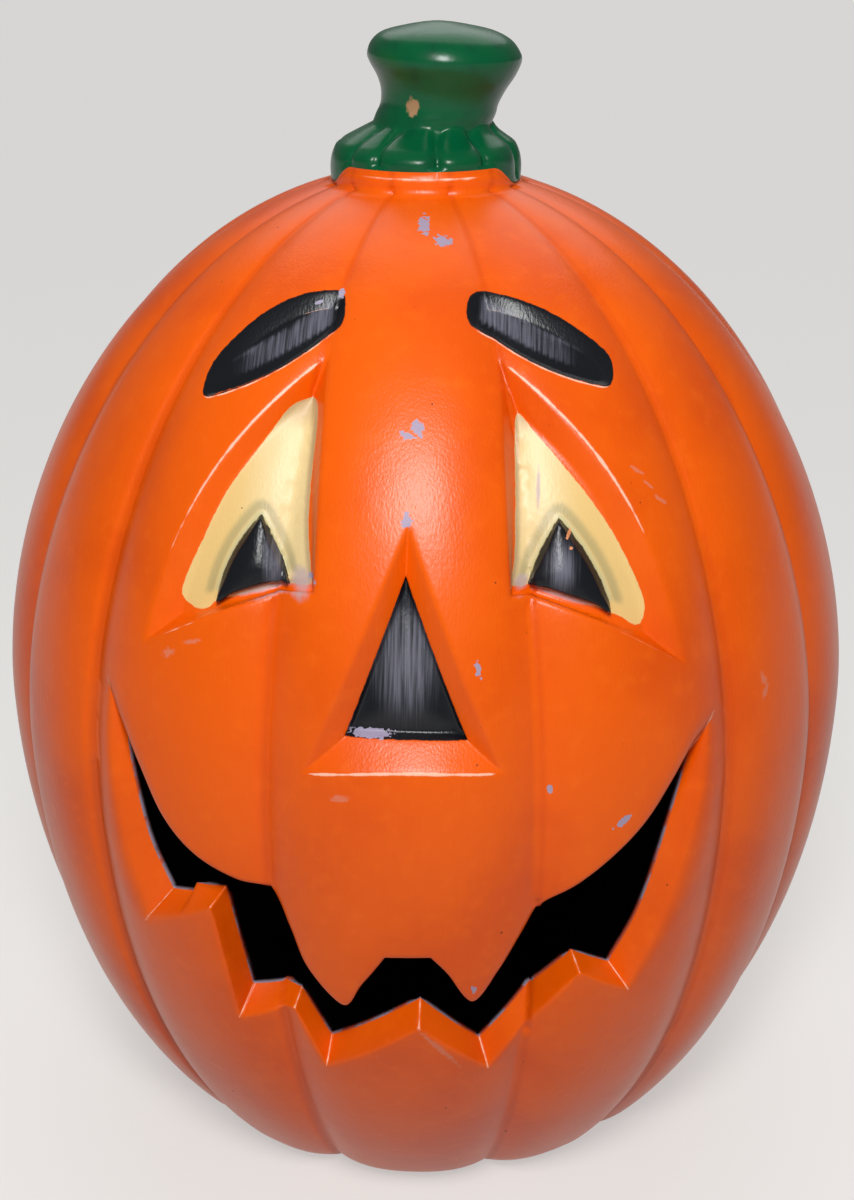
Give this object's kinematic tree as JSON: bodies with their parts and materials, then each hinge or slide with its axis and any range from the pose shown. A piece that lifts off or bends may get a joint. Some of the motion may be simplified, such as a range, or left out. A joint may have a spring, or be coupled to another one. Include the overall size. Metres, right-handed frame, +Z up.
{
  "type": "blow mold pumpkin light",
  "caption": "Hollow blow-moulded pumpkin lantern with a green stem and a cut-out smile, lit by a screw-base bulb on a lampholder that snaps into its back.",
  "frame": {"origin": "on the surface that the pumpkin stands on, under the middle of its foot", "axes": "+Z up to the stem, -Y out of the face, +X to the right of someone looking at the face"},
  "size_m": [0.4638, 0.468, 0.611],
  "materials": {
    "painted_polyethylene": "satin sprayed paint over grey-lavender polyethylene",
    "black_plastic": "moulded, fine texture",
    "phenolic": "pressed, satin",
    "black_rubber": "matt",
    "brass_sheet": "stamped, slightly tarnished",
    "zinc_steel": "zinc plated",
    "spring_steel": "bright strip",
    "solder": "dull solder",
    "black_glass": "fused black glass",
    "bulb_base": "rolled, bright",
    "frosted_glass": "inside frosted",
    "clear_glass": "clear",
    "nickel_wire": "drawn wire",
    "tungsten": "drawn wire"
  },
  "bodies": {
    "pumpkin": {"pumpkin_shell": "painted_polyethylene"},
    "lamp_unit": {"lampholder": "black_plastic", "wiring_cap": "black_plastic", "insulator": "phenolic", "inlet_bushing": "black_rubber", "screw_shell": "brass_sheet", "centre_contact": "brass_sheet", "terminal_screw_left": "brass_sheet", "terminal_screw_right": "brass_sheet", "cap_screw_left": "zinc_steel", "cap_screw_right": "zinc_steel", "spring_clip_upper": "spring_steel", "spring_clip_lower": "spring_steel", "clip_rivet_upper": "zinc_steel", "clip_rivet_lower": "zinc_steel"},
    "bulb_tip": {"bulb_contact": "solder"},
    "bulb": {"bulb_insulator": "black_glass", "bulb_screw_base": "bulb_base", "bulb_glass": "frosted_glass", "bulb_mount": "clear_glass", "lead_wire_left": "nickel_wire", "lead_wire_right": "nickel_wire", "support_wire": "nickel_wire", "filament": "tungsten"}
  },
  "joints": [
    {"name": "lamp_pull", "type": "slide", "parent": "pumpkin", "child": "lamp_unit", "axis": [0, 1, 0], "range_m": [0, 0.13], "deforming": ["spring_clip_upper", "spring_clip_lower"]},
    {"name": "bulb_advance", "type": "slide", "parent": "lamp_unit", "child": "bulb_tip", "axis": [0, -1, 0], "range_m": [0, 0.0182]},
    {"name": "bulb_turn", "type": "hinge", "parent": "bulb_tip", "child": "bulb", "pos_m": [0, 0.212, 0.23], "axis": [0, -1, 0], "range_deg": [0, 1800]}
  ],
  "couplings": [
    {"joint": "bulb_advance", "follows": "bulb_turn", "m_per_rad": 0.00057753}
  ]
}
